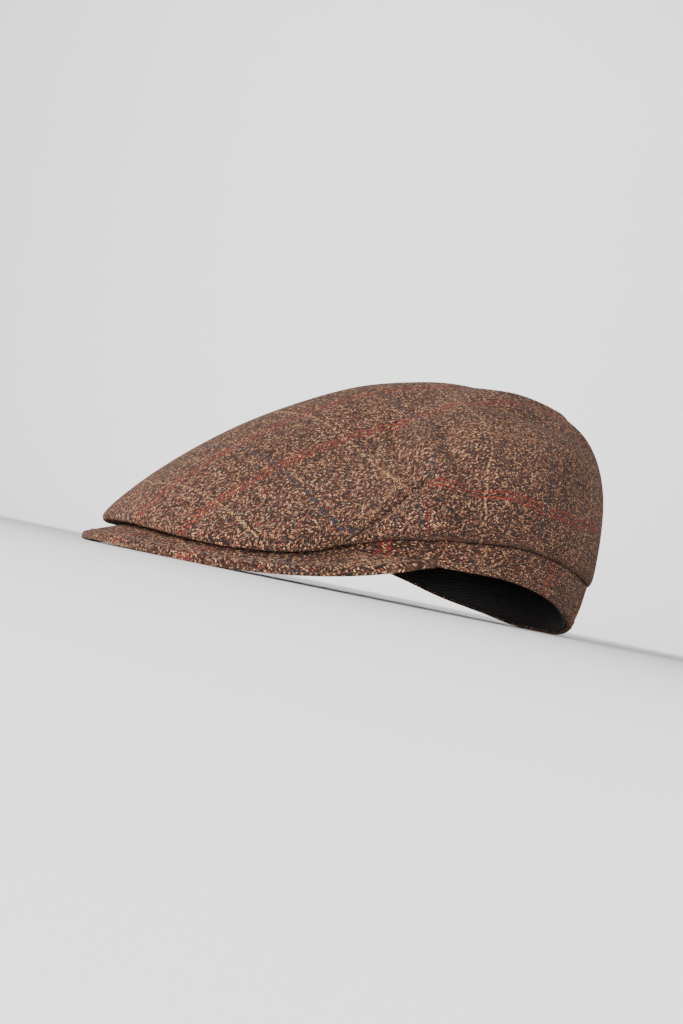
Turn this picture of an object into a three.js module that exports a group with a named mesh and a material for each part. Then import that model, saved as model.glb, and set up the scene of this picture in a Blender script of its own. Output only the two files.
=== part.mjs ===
// A tweed flat cap. A soft crown runs forward over a short stiff peak, and a band goes round the
// head, with a sweatband inside it and a lining in the crown. Millimetres, +Z up, and the peak
// points towards -Y. The cap stands as it does on a table: on the nape of its band and on the
// front corners of its peak, with the sides of the band raised in an arch.
import * as THREE from "three";

// The head oval, measured round the outside of the band's bottom edge. It is HEAD_TAPER narrower
// at the nape, and as much wider at the front, than an ellipse.
const HEAD_LENGTH = 199.5;
const HEAD_WIDTH = 167;
const HEAD_TAPER = 0.12;

// Cloth thicknesses, and the space left between two pieces that touch.
const CROWN_WALL = 1.8;
const BAND_WALL = 3.0;
const SWEATBAND_WALL = 1.0;
const LINING_WALL = 1.0;
const CLEARANCE = 0.35;

// The peak is a stiff board in cloth. It slopes down to the front and is arched across.
const PEAK_LENGTH = 60;
const PEAK_THICKNESS = 3.4;
const PEAK_EDGE_ROUND = 1.3;
const PEAK_SLOPE_DEG = 19.7;
const PEAK_ARCH_RADIUS = 130;
const PEAK_EDGE_EXPONENT = 2.05;
const PEAK_END_ANGLE = 110;

// The band is deepest at the nape and leans outward by BAND_FLARE in its full height.
const BAND_HEIGHT = 25;
const BAND_FLARE = 4.2;
const BAND_BELOW_PEAK = 2.2;
const BAND_FOLD = 0.9;

// The sweatband stands inside the band, a little above its bottom edge.
const SWEATBAND_HEIGHT = 25;
const SWEATBAND_LIFT = 1.6;

// The crown, and the space between it and the lining at its top.
const CROWN_HEIGHT = 113.5;
const CROWN_TOP_SETBACK = 36;
const CROWN_FRONT_INSET = 10;
const CROWN_LIP = 12;
const CROWN_TUCK = 9;
// The share of the lip that the cloth drops straight below the widest line, and the share of the
// way in to the seam that it has come when it lies level.
const CROWN_HIP = 0.6;
const CROWN_UNDER = 0.25;
const LINING_DROP = 8;
const LINING_FULLNESS = 0.6;

// Soft folds in the crown.
const CREASE_WIDTH = 8;
const CREASE_DEPTH = 2;
const CREASE_PIECES = 6;

const CROWN_OVERHANG = PEAK_LENGTH - CROWN_FRONT_INSET;

// Angles run from the nape (0) to the middle of the front (180) in degrees, alike on each side.
// edge: height of the band's bottom edge, as a share of its height at the end of the peak
const EDGE_TABLE = [
  { angle: 0, edge: 0.0 },
  { angle: 10, edge: 0.0 },
  { angle: 30, edge: 0.19 },
  { angle: 45, edge: 0.38 },
  { angle: 60, edge: 0.69 },
  { angle: 75, edge: 0.93 },
  { angle: 90, edge: 1.04 },
  { angle: 110, edge: 1.0 },
];

// tall: height of the band, as a share of BAND_HEIGHT
const BAND_TABLE = [
  { angle: 0, tall: 1.0 },
  { angle: 30, tall: 0.9 },
  { angle: 60, tall: 0.7 },
  { angle: 90, tall: 0.58 },
  { angle: 115, tall: 0.45 },
  { angle: 180, tall: 0.4 },
];

// The crown's shape, one row for each direction from its top.
// out:  how far the widest line stands beyond the head oval, as a share of CROWN_OVERHANG
// lip:  height of the widest line above the seam, as a share of CROWN_LIP
// rise: how far the side runs straight up, as a share of the height left above the widest line
// flat: how far the top runs level, as a share of the distance from the top to the widest line
const CROWN_TABLE = [
  { angle: 0, out: 0.11, lip: 1.0, rise: 0.78, flat: 0.7 },
  { angle: 30, out: 0.12, lip: 1.0, rise: 0.78, flat: 0.7 },
  { angle: 60, out: 0.18, lip: 1.0, rise: 0.62, flat: 0.65 },
  { angle: 90, out: 0.23, lip: 1.0, rise: 0.46, flat: 0.6 },
  { angle: 115, out: 0.22, lip: 0.9, rise: 0.32, flat: 0.57 },
  { angle: 135, out: 0.24, lip: 0.7, rise: 0.18, flat: 0.56 },
  { angle: 150, out: 0.6, lip: 0.55, rise: 0.07, flat: 0.57 },
  { angle: 165, out: 0.91, lip: 0.5, rise: 0.05, flat: 0.58 },
  { angle: 180, out: 1.0, lip: 0.5, rise: 0.05, flat: 0.58 },
];

// Places down the crown: the top, the widest line and the seam.
const WIDEST_DOWN = 1;
const SEAM_DOWN = 2;
const CREASE_FADE_FROM = 1.2;

// The folds of the crown: a dart sewn into each side, the drag lines at its tip, a hollow along
// the back of the top, one behind each shoulder and the seam up the middle of the back.
// Each goes straight from one place to another. A place is an angle and how far down the crown
// it is: 0 at the top, 1 at the widest line, 2 at the seam with the band.
// wide, deep: as shares of CREASE_WIDTH and CREASE_DEPTH
const CREASE_TABLE = [
  { fromAngle: 136, fromDown: 1.3, toAngle: 120, toDown: 0.78, wide: 0.9, deep: 1.0 },
  { fromAngle: 128, fromDown: 0.6, toAngle: 116, toDown: 0.81, wide: 0.8, deep: 0.7 },
  { fromAngle: 112, fromDown: 0.67, toAngle: 104, toDown: 0.88, wide: 0.8, deep: 0.6 },
  { fromAngle: 99, fromDown: 0.36, toAngle: 52, toDown: 0.4, wide: 1.2, deep: 0.7 },
  { fromAngle: 44, fromDown: 0.6, toAngle: 40, toDown: 1.0, wide: 1.1, deep: 0.8 },
  { fromAngle: 0, fromDown: 0.35, toAngle: 0, toDown: 2.0, wide: 0.7, deep: 0.5 },
];

// Steps round the cap and down each piece.
const STEPS_ROUND = 72;
const CROWN_ROWS = 23;
const CROWN_LIP_ROWS = 5;
const CROWN_INNER_ROWS = 12;
const LINING_ROWS = 9;
const LINING_EVERY = 2;
const PEAK_STEPS = 40;
const PEAK_ROWS = 5;

const radians = THREE.MathUtils.degToRad;
const { lerp, smoothstep } = THREE.MathUtils;
const up = new THREE.Vector3(0, 0, 1);

// A column of a table at any angle, joined smoothly and with no overshoot beside equal rows.
function column(table, name, angle) {
  const at = THREE.MathUtils.clamp(angle, table[0].angle, table.at(-1).angle);
  let low = 0;
  while (low < table.length - 2 && at > table[low + 1].angle) low += 1;
  const slope = (row) => {
    if (row === 0 || row === table.length - 1) return 0;
    const [before, here, after] = [table[row - 1], table[row], table[row + 1]];
    if (before[name] === here[name] || here[name] === after[name]) return 0;
    return (after[name] - before[name]) / (after.angle - before.angle);
  };
  const [from, to] = [table[low], table[low + 1]];
  const span = to.angle - from.angle;
  const t = (at - from.angle) / span;
  return (
    (2 * t ** 3 - 3 * t ** 2 + 1) * from[name] +
    (t ** 3 - 2 * t ** 2 + t) * span * slope(low) +
    (3 * t ** 2 - 2 * t ** 3) * to[name] +
    (t ** 3 - t ** 2) * span * slope(low + 1)
  );
}

// A point beside the head oval: outward along its normal by out, at the height z.
// turn is the angle with its side: 0 to 180 on the wearer's left, 0 to -180 on the right.
function besideHead(turn, out, z) {
  const [halfWidth, halfLength] = [HEAD_WIDTH / 2, HEAD_LENGTH / 2];
  const [s, c] = [Math.sin(radians(turn)), Math.cos(radians(turn))];
  const normal = new THREE.Vector2(s / halfWidth, c / halfLength).normalize();
  const x = halfWidth * s * (1 - HEAD_TAPER * c);
  return new THREE.Vector3(x + out * normal.x, halfLength * c + out * normal.y, z);
}

// How the middle of the peak's board falls towards the front and the sides.
function peakFall(x, y) {
  return y * Math.tan(radians(PEAK_SLOPE_DEG)) - (x * x) / (2 * PEAK_ARCH_RADIUS);
}

// Half of the peak's thickness, measured straight up.
function halfPeak(x) {
  return (PEAK_THICKNESS / 2) * Math.hypot(1, x / PEAK_ARCH_RADIUS, Math.tan(radians(PEAK_SLOPE_DEG)));
}

// The peak's outer edge in plan: across runs from -1 at one end of the peak to 1 at the other.
function peakEdge(across) {
  const end = besideHead(PEAK_END_ANGLE, 0, 0);
  const reach = HEAD_LENGTH / 2 + PEAK_LENGTH + end.y;
  const turn = (Math.abs(across) * Math.PI) / 2;
  const power = 2 / PEAK_EDGE_EXPONENT;
  const x = end.x * Math.sign(across) * Math.sin(turn) ** power;
  return new THREE.Vector2(x, end.y - reach * Math.max(Math.cos(turn), 0) ** power);
}

// One slice of the peak: the place of its root on the head oval, its outer edge, and the line a
// little inside the edge where the rounding starts.
function peakSlice(step) {
  const across = (2 * step) / PEAK_STEPS - 1;
  const angle = 180 - Math.abs(across) * (180 - PEAK_END_ANGLE);
  const turn = across < 0 ? -angle : angle;
  const edge = peakEdge(across);
  const root = besideHead(turn, 0, 0);
  const inward = new THREE.Vector2(root.x - edge.x, root.y - edge.y);
  const shoulder = edge.clone().add(inward.setLength(PEAK_EDGE_ROUND));
  return { turn, angle, root, edge, shoulder };
}

const peakSlices = Array.from({ length: PEAK_STEPS - 1 }, (_, step) => peakSlice(step + 1));

// The board is set down so that its lowest line meets the table.
const undersides = peakSlices.map(({ shoulder }) => {
  return peakFall(shoulder.x, shoulder.y) - halfPeak(shoulder.x);
});
const PEAK_DROP = Math.min(...undersides);
const peakHeight = (x, y) => peakFall(x, y) - PEAK_DROP;

// Height of the band's bottom edge: on the table at the nape, raised over the ears, and just
// below the root of the peak from one end of it to the other.
function bandBottom(angle) {
  const below = (at) => {
    const point = besideHead(at, 0, 0);
    return peakHeight(point.x, point.y) - BAND_BELOW_PEAK;
  };
  if (angle >= PEAK_END_ANGLE) return below(angle);
  return column(EDGE_TABLE, "edge", angle) * below(PEAK_END_ANGLE);
}

const bandTall = (angle) => BAND_HEIGHT * column(BAND_TABLE, "tall", angle);
const bandTop = (angle) => bandBottom(angle) + bandTall(angle);
const bandLean = (angle, z) => (BAND_FLARE * (z - bandBottom(angle))) / BAND_HEIGHT;
const sweatbandBottom = (angle) => bandBottom(angle) + SWEATBAND_LIFT;
const sweatbandTop = (angle) => sweatbandBottom(angle) + SWEATBAND_HEIGHT;

// Closed sections are joined into one mesh, either all the way round or with a face at each end.
function joinLoops(sections, comesRound) {
  const [count, size] = [sections.length, sections[0].length];
  const triangles = [];
  const at = (i, j) => (i % count) * size + (j % size);
  for (let i = 0; i < (comesRound ? count : count - 1); i += 1) {
    for (let j = 0; j < size; j += 1) {
      triangles.push(at(i, j), at(i + 1, j), at(i + 1, j + 1));
      triangles.push(at(i, j), at(i + 1, j + 1), at(i, j + 1));
    }
  }
  const addEnd = (i, flip) => {
    for (let low = 0, high = size - 1; high - low > 1; low += 1, high -= 1) {
      const face = [at(i, low), at(i, low + 1), at(i, high)];
      if (high - low > 2) face.push(at(i, low + 1), at(i, high - 1), at(i, high));
      triangles.push(...(flip ? face.reverse() : face));
    }
  };
  if (!comesRound) {
    addEnd(0, false);
    addEnd(count - 1, true);
  }
  return closedGeometry(sections.flat(), triangles);
}

// A dome: each section runs from the top of its outside down to the hem and up to the top of its
// inside, and all of them share their first and their last point.
function joinDome(sections) {
  const [count, size] = [sections.length, sections[0].length - 2];
  const points = [sections[0][0], sections[0].at(-1)];
  for (const section of sections) points.push(...section.slice(1, -1));
  const at = (i, j) => 2 + (i % count) * size + j;
  const triangles = [];
  for (let i = 0; i < count; i += 1) {
    triangles.push(0, at(i, 0), at(i + 1, 0));
    triangles.push(1, at(i + 1, size - 1), at(i, size - 1));
    for (let j = 0; j < size - 1; j += 1) {
      triangles.push(at(i, j), at(i, j + 1), at(i + 1, j + 1));
      triangles.push(at(i, j), at(i + 1, j + 1), at(i + 1, j));
    }
  }
  return closedGeometry(points, triangles);
}

// The faces are turned to point outward, which is where the mesh encloses a positive volume.
function closedGeometry(points, triangles) {
  let volume = 0;
  for (let k = 0; k < triangles.length; k += 3) {
    const [a, b, c] = triangles.slice(k, k + 3).map((index) => points[index]);
    volume += a.dot(new THREE.Vector3().crossVectors(b, c));
  }
  if (volume < 0) triangles.reverse();
  const geometry = new THREE.BufferGeometry().setFromPoints(points);
  geometry.setIndex(triangles);
  geometry.computeVertexNormals();
  return geometry;
}

const turns = Array.from({ length: STEPS_ROUND }, (_, step) => (360 * step) / STEPS_ROUND - 180);

// The band: its bottom edge is a fold of the cloth, with a flat underside.
function bandGeometry() {
  const sections = turns.map((turn) => {
    const angle = Math.abs(turn);
    const [bottom, top] = [bandBottom(angle), bandTop(angle)];
    const folded = bottom + BAND_FOLD;
    return [
      besideHead(turn, bandLean(angle, top), top),
      besideHead(turn, bandLean(angle, folded), folded),
      besideHead(turn, -BAND_FOLD, bottom),
      besideHead(turn, BAND_FOLD - BAND_WALL, bottom),
      besideHead(turn, bandLean(angle, folded) - BAND_WALL, folded),
      besideHead(turn, bandLean(angle, top) - BAND_WALL, top),
    ];
  });
  return joinLoops(sections, true);
}

// The sweatband: a ribbon that stands upright against the inside of the band.
function sweatbandGeometry() {
  const sections = turns.map((turn) => {
    const [bottom, top] = [sweatbandBottom(Math.abs(turn)), sweatbandTop(Math.abs(turn))];
    const outer = -BAND_WALL - CLEARANCE;
    const inner = outer - SWEATBAND_WALL;
    return [
      besideHead(turn, outer, top),
      besideHead(turn, outer, bottom),
      besideHead(turn, inner, bottom),
      besideHead(turn, inner, top),
    ];
  });
  return joinLoops(sections, true);
}

// The crown meets the top of the band behind the peak. From AWAY_FROM_ANGLE it comes away from the
// band, and from ON_PEAK_FROM_ANGLE to ON_PEAK_TO_ANGLE it steps down onto the top of the peak.
const AWAY_FROM_ANGLE = 108;
const ON_PEAK_FROM_ANGLE = 120;
const ON_PEAK_TO_ANGLE = 142;

// The crown's seam and its widest line, in one direction.
function crownRim(turn) {
  const angle = Math.abs(turn);
  const out = CROWN_OVERHANG * column(CROWN_TABLE, "out", angle);
  const lip = CROWN_LIP * column(CROWN_TABLE, "lip", angle);
  const away = 2 * CLEARANCE * smoothstep(angle, AWAY_FROM_ANGLE, ON_PEAK_FROM_ANGLE);
  const onPeak = smoothstep(angle, ON_PEAK_FROM_ANGLE, ON_PEAK_TO_ANGLE);
  const overPeak = (x, y) => peakHeight(x, y) + halfPeak(x) + CLEARANCE;
  const hem = bandTop(angle) + CLEARANCE;
  const seam = besideHead(turn, bandLean(angle, bandTop(angle)) + away, hem);
  const tuck = besideHead(turn, Math.max(out - CROWN_TUCK, 2 * CROWN_WALL), 0);
  tuck.z = overPeak(tuck.x, tuck.y);
  seam.lerp(tuck, onPeak);
  const widest = besideHead(turn, out, 0);
  widest.z = lerp(hem, overPeak(widest.x, widest.y), onPeak) + lip;
  return { seam, widest, lip };
}

// The outside of the crown before it is creased. down is 0 at the top, and grows to SEAM_DOWN.
function crownShape(turn, down) {
  const angle = Math.abs(turn);
  const { seam, widest, lip } = crownRim(turn);
  if (down > WIDEST_DOWN) {
    const hip = widest.clone().setZ(widest.z - lip * CROWN_HIP);
    const under = widest.clone().lerp(seam, CROWN_UNDER).setZ(seam.z);
    return new THREE.CubicBezierCurve3(widest, hip, under, seam).getPoint(down - WIDEST_DOWN);
  }
  const top = new THREE.Vector3(0, CROWN_TOP_SETBACK, CROWN_HEIGHT);
  const rise = column(CROWN_TABLE, "rise", angle) * (CROWN_HEIGHT - widest.z);
  const flat = top.clone().lerp(widest, column(CROWN_TABLE, "flat", angle)).setZ(CROWN_HEIGHT);
  const shoulder = widest.clone().setZ(widest.z + rise);
  return new THREE.CubicBezierCurve3(top, flat, shoulder, widest).getPoint(down);
}

// The way out of the crown at a place on it, from its neighbours a small step away.
const DOWN_STEP = 0.01;
const TURN_STEP = 1;
function crownNormal(turn, down) {
  if (down === 0) return up.clone();
  const below = crownShape(turn, Math.min(down + DOWN_STEP, SEAM_DOWN));
  const along = below.sub(crownShape(turn, down - DOWN_STEP));
  const round = crownShape(turn + TURN_STEP, down).sub(crownShape(turn - TURN_STEP, down));
  return round.cross(along).normalize();
}

// Each crease as a chain of short straight pieces on the left of the crown.
const creases = CREASE_TABLE.map((row) => {
  const points = Array.from({ length: CREASE_PIECES + 1 }, (_, k) => {
    const share = k / CREASE_PIECES;
    const angle = lerp(row.fromAngle, row.toAngle, share);
    return crownShape(angle, lerp(row.fromDown, row.toDown, share));
  });
  const lines = points.slice(1).map((point, k) => new THREE.Line3(points[k], point));
  return { lines, width: row.wide * CREASE_WIDTH, depth: row.deep * CREASE_DEPTH };
});

// How deep the creases pull the cloth in at a point. They are the same on each side.
function creaseDepth(point) {
  const mirrored = new THREE.Vector3(Math.abs(point.x), point.y, point.z);
  const nearest = new THREE.Vector3();
  let depth = 0;
  for (const crease of creases) {
    const gaps = crease.lines.map((line) => {
      return line.closestPointToPoint(mirrored, true, nearest).distanceTo(mirrored);
    });
    depth += crease.depth * Math.exp(-((Math.min(...gaps) / crease.width) ** 2));
  }
  return depth;
}

// The creases fade out where the crown is sewn to the band or lies on the peak.
function crownPoint(turn, down, inset) {
  const place = crownShape(turn, down);
  const fade = 1 - smoothstep(down, CREASE_FADE_FROM, SEAM_DOWN);
  return place.addScaledVector(crownNormal(turn, down), -inset - fade * creaseDepth(place));
}

function crownGeometry() {
  const sections = turns.map((turn) => {
    const outside = [];
    for (let row = 0; row <= CROWN_ROWS; row += 1) outside.push(row / CROWN_ROWS);
    for (let row = 1; row <= CROWN_LIP_ROWS; row += 1) outside.push(1 + row / CROWN_LIP_ROWS);
    const inside = [];
    for (let row = CROWN_LIP_ROWS; row > 0; row -= 1) inside.push(1 + row / CROWN_LIP_ROWS);
    for (let row = CROWN_INNER_ROWS; row >= 0; row -= 1) inside.push(row / CROWN_INNER_ROWS);
    return [
      ...outside.map((down) => crownPoint(turn, down, 0)),
      ...inside.map((down) => crownPoint(turn, down, CROWN_WALL)),
    ];
  });
  return joinDome(sections);
}

// The lining: a plainer dome inside the crown. It stands on the inner half of the band and goes
// straight up behind the sweatband before it curves in.
function liningGeometry() {
  const sections = turns.filter((_, step) => step % LINING_EVERY === 0).map((turn) => {
    const angle = Math.abs(turn);
    const hem = bandTop(angle) + CLEARANCE;
    const out = bandLean(angle, bandTop(angle)) - BAND_WALL + LINING_WALL;
    const curve = (inset) => {
      const low = besideHead(turn, out - inset, sweatbandTop(angle));
      const crest = CROWN_HEIGHT - CROWN_WALL - LINING_DROP - inset;
      const top = new THREE.Vector3(0, CROWN_TOP_SETBACK, crest);
      const level = LINING_FULLNESS * column(CROWN_TABLE, "flat", angle);
      const upright = LINING_FULLNESS * column(CROWN_TABLE, "rise", angle);
      const flat = top.clone().lerp(low, level).setZ(crest);
      const side = low.clone().setZ(lerp(low.z, crest, upright));
      const dome = new THREE.CubicBezierCurve3(top, flat, side, low).getPoints(LINING_ROWS);
      return [...dome, low.clone().setZ(hem)];
    };
    return [...curve(0), ...curve(LINING_WALL).reverse()];
  });
  return joinDome(sections);
}

// The peak, in slices from its root on the band to its rounded outer edge.
function peakGeometry() {
  const rows = Array.from({ length: PEAK_ROWS + 1 }, (_, row) => row / PEAK_ROWS);
  const sections = peakSlices.map(({ turn, angle, root, edge, shoulder }) => {
    const face = (side) => {
      const height = peakHeight(root.x, root.y) + side * halfPeak(root.x);
      const start = besideHead(turn, bandLean(angle, height) + 2 * CLEARANCE, 0);
      return rows.map((share) => {
        const x = lerp(start.x, shoulder.x, share);
        const y = lerp(start.y, shoulder.y, share);
        return new THREE.Vector3(x, y, peakHeight(x, y) + side * halfPeak(x));
      });
    };
    const rim = new THREE.Vector3(edge.x, edge.y, peakHeight(edge.x, edge.y));
    return [...face(1), rim, ...face(-1).reverse()];
  });
  return joinLoops(sections, false);
}

const tweed = new THREE.MeshStandardMaterial({ color: 0x5a4036, roughness: 0.95, metalness: 0 });
const black = new THREE.MeshStandardMaterial({ color: 0x0d0a0a, roughness: 0.8, metalness: 0 });

const pieces = new THREE.Group();
function addPiece(name, geometry, material) {
  const piece = new THREE.Mesh(geometry, material.clone());
  piece.name = name;
  pieces.add(piece);
}

addPiece("crown", crownGeometry(), tweed);
addPiece("band", bandGeometry(), tweed);
addPiece("peak", peakGeometry(), tweed);
addPiece("sweatband", sweatbandGeometry(), black);
addPiece("lining", liningGeometry(), black);

// The origin is under the middle of the cap's own box, on the table.
const box = new THREE.Box3().setFromObject(pieces);
const middle = box.getCenter(new THREE.Vector3());
pieces.position.set(-middle.x, -middle.y, -box.min.z);

const cap = new THREE.Group();
cap.add(pieces);
export default cap;
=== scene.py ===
"""A brown herringbone tweed flat cap with a windowpane check, standing on a table."""
import bpy
import numpy as np
from mathutils import Matrix, Vector


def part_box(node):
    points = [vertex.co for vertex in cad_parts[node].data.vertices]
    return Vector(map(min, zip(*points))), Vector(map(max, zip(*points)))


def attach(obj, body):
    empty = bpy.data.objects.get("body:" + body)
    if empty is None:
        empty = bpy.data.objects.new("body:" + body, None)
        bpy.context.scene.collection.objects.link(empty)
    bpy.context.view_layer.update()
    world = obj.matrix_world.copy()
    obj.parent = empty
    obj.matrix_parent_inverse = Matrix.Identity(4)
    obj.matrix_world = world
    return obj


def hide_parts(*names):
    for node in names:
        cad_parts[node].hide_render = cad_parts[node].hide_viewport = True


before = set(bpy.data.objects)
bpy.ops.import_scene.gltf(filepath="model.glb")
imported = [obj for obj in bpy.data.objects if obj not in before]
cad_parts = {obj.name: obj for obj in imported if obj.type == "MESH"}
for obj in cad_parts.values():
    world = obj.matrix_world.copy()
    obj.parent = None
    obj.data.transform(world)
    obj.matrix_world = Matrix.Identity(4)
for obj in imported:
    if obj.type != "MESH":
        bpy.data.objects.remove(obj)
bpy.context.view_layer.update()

# The band: a strip of the tweed round the head, folded at its bottom edge and turned up inside.
# It is sewn to the crown at its top. It is deepest at the nape and stands on the table there.
# Sizes are in millimetres, about the middle of the head oval.
MM = 0.001
HEAD_LENGTH = 199.5
HEAD_WIDTH = 167.0
HEAD_TAPER = 0.12
BAND_WALL = 3.0
BAND_HEIGHT = 25.0
BAND_FLARE = 4.2
BAND_BELOW_PEAK = 2.2
BAND_BULGE = 0.5
CLEARANCE = 0.35
PEAK_LENGTH = 60.0
PEAK_THICKNESS = 3.4
PEAK_EDGE_ROUND = 1.3
PEAK_SLOPE = np.radians(19.7)
PEAK_ARCH_RADIUS = 130.0
PEAK_EDGE_EXPONENT = 2.05
PEAK_END_ANGLE = 110.0
# Angle from the nape, and the height of the bottom edge as a share of that at the peak's end.
EDGE_TABLE = {
    "angle": [0, 10, 30, 45, 60, 75, 90, 110],
    "edge": [0, 0, 0.19, 0.38, 0.69, 0.93, 1.04, 1.0],
}
# Angle from the nape, and the height of the band as a share of BAND_HEIGHT.
TALL_TABLE = {
    "angle": [0, 30, 60, 90, 115, 180],
    "tall": [1.0, 0.9, 0.7, 0.58, 0.45, 0.4],
}

# The cap's own frame has its origin under the middle of its box, so the head oval stands a
# little behind it. The band's rear top edge gives by how much.
head_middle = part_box("band")[1].y / MM - (HEAD_LENGTH / 2 + BAND_FLARE)


def column(table, name, angle):
    """A column of a table at any angle, joined smoothly, with no overshoot beside equal rows."""
    at, value = np.array(table["angle"], float), np.array(table[name], float)
    slope = np.zeros(len(at))
    for k in range(1, len(at) - 1):
        if value[k - 1] != value[k] and value[k] != value[k + 1]:
            slope[k] = (value[k + 1] - value[k - 1]) / (at[k + 1] - at[k - 1])
    x = np.clip(angle, at[0], at[-1])
    k = np.clip(np.searchsorted(at, x) - 1, 0, len(at) - 2)
    span = at[k + 1] - at[k]
    t = (x - at[k]) / span
    ends = (2 * t**3 - 3 * t**2 + 1) * value[k] + (3 * t**2 - 2 * t**3) * value[k + 1]
    return ends + span * ((t**3 - 2 * t**2 + t) * slope[k] + (t**3 - t**2) * slope[k + 1])


def smooth(x, start, end):
    """Rises from 0 at the start to 1 at the end, level at both."""
    t = np.clip((x - start) / (end - start), 0, 1)
    return t * t * (3 - 2 * t)


def beside_head(turn, out):
    """x and y beside the head oval, outward by out. turn is 0 at the nape and 180 in front."""
    s, c = np.sin(np.radians(turn)), np.cos(np.radians(turn))
    nx, ny = s / (HEAD_WIDTH / 2), c / (HEAD_LENGTH / 2)
    size = np.hypot(nx, ny)
    x = HEAD_WIDTH / 2 * s * (1 - HEAD_TAPER * c) + out * nx / size
    return x, HEAD_LENGTH / 2 * c + out * ny / size


def peak_fall(x, y):
    """Height of the middle of the board over its root: it slopes forward and arches across."""
    return y * np.tan(PEAK_SLOPE) - x * x / (2 * PEAK_ARCH_RADIUS)


def half_peak(x):
    """Half the board's thickness, measured straight up."""
    return PEAK_THICKNESS / 2 * np.sqrt(1 + (x / PEAK_ARCH_RADIUS) ** 2 + np.tan(PEAK_SLOPE) ** 2)


def peak_edge(across):
    """The peak's outer edge in plan. across runs from -1 at one end to 1 at the other."""
    end_x, end_y = beside_head(PEAK_END_ANGLE, 0)
    reach = HEAD_LENGTH / 2 + PEAK_LENGTH + end_y
    turn = np.abs(across) * np.pi / 2
    power = 2 / PEAK_EDGE_EXPONENT
    x = end_x * np.sign(across) * np.sin(turn) ** power
    return x, end_y - reach * np.maximum(np.cos(turn), 0) ** power


def peak_lowest():
    """Height of the lowest place under the board's edge, which stands on the table."""
    across = np.linspace(-0.95, 0.95, 39)
    x, y = peak_edge(across)
    root_x, root_y = beside_head(np.sign(across) * (180 - np.abs(across) * (180 - PEAK_END_ANGLE)), 0)
    length = np.hypot(root_x - x, root_y - y)
    x = x + (root_x - x) / length * PEAK_EDGE_ROUND
    y = y + (root_y - y) / length * PEAK_EDGE_ROUND
    return np.min(peak_fall(x, y) - half_peak(x))


PEAK_DROP = peak_lowest()


def peak_height(x, y):
    """Height of the middle of the board over the table."""
    return peak_fall(x, y) - PEAK_DROP


def band_bottom(angle):
    """Height of the band's bottom edge, which follows the peak's root in front."""
    x, y = beside_head(angle, 0)
    end_x, end_y = beside_head(PEAK_END_ANGLE, 0)
    raised = column(EDGE_TABLE, "edge", angle) * (peak_height(end_x, end_y) - BAND_BELOW_PEAK)
    return np.where(angle >= PEAK_END_ANGLE, peak_height(x, y) - BAND_BELOW_PEAK, raised)


def band_top(angle):
    """Height of the seam between band and crown."""
    return band_bottom(angle) + BAND_HEIGHT * column(TALL_TABLE, "tall", angle)


def band_lean(angle, z):
    """How far the band leans out at a height, as it opens toward the crown."""
    return BAND_FLARE * (z - band_bottom(angle)) / BAND_HEIGHT


def make_piece(name, points, faces, material, cloth=None, check=None):
    """A mesh in the cap's frame. cloth and check place each face corner on the woven cloth."""
    points = np.array(points, float).reshape(-1, 3) + (0, head_middle, 0)
    mesh = bpy.data.meshes.new(name)
    mesh.from_pydata((points * MM).tolist(), [], [list(map(int, f)) for f in faces])
    for layer, values in (("cloth", cloth), ("check", check)):
        if values is not None:
            uv = mesh.uv_layers.new(name=layer)
            uv.data.foreach_set("uv", np.array(values, np.float32).ravel())
    mesh.polygons.foreach_set("use_smooth", [True] * len(mesh.polygons))
    mesh.materials.append(material)
    mesh.update()
    piece = bpy.data.objects.new(name, mesh)
    bpy.context.scene.collection.objects.link(piece)
    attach(piece, "root")
    return piece


def loops_to_piece(name, sections, material, comes_round, cloth=None, check=None):
    """Closed sections of points joined side by side, with a face at each end if they don't come
    round. cloth and check hold a place on the cloth for each point of each section."""
    count, size = sections.shape[:2]
    faces, corners = [], []
    for i in range(count if comes_round else count - 1):
        for j in range(size):
            grid = [(i, j), (i, j + 1), (i + 1, j + 1), (i + 1, j)]
            faces.append([(a % count) * size + b % size for a, b in grid])
            corners += grid
    if not comes_round:
        first, last = [(0, j) for j in range(size)][::-1], [(count - 1, j) for j in range(size)]
        faces += [[a * size + b for a, b in end] for end in (first, last)]
        corners += first + last
    a, b = np.array(corners).T
    if cloth is not None:
        cloth, check = cloth[a % count, b % size], check[a % count, b % size]
    return make_piece(name, sections, faces, material, cloth, check)


def linear(hex_colour):
    """An sRGB hex colour as the linear values that a shader takes."""
    parts = np.array([int(hex_colour[k:k + 2], 16) for k in (1, 3, 5)]) / 255
    return (*np.where(parts <= 0.04045, parts / 12.92, ((parts + 0.055) / 1.055) ** 2.4), 1)


def node(material, kind, inputs=(), **settings):
    """Adds a node with its settings and links. inputs holds (socket, value or linked output)."""
    made = material.node_tree.nodes.new(kind)
    for name, value in settings.items():
        setattr(made, name, value)
    for socket, value in inputs:
        if isinstance(value, bpy.types.NodeSocket):
            material.node_tree.links.new(value, made.inputs[socket])
        else:
            made.inputs[socket].default_value = value
    return made


def new_material(name):
    material = bpy.data.materials.new(name)
    material.use_nodes = True
    material.node_tree.nodes.clear()
    return material


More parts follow.
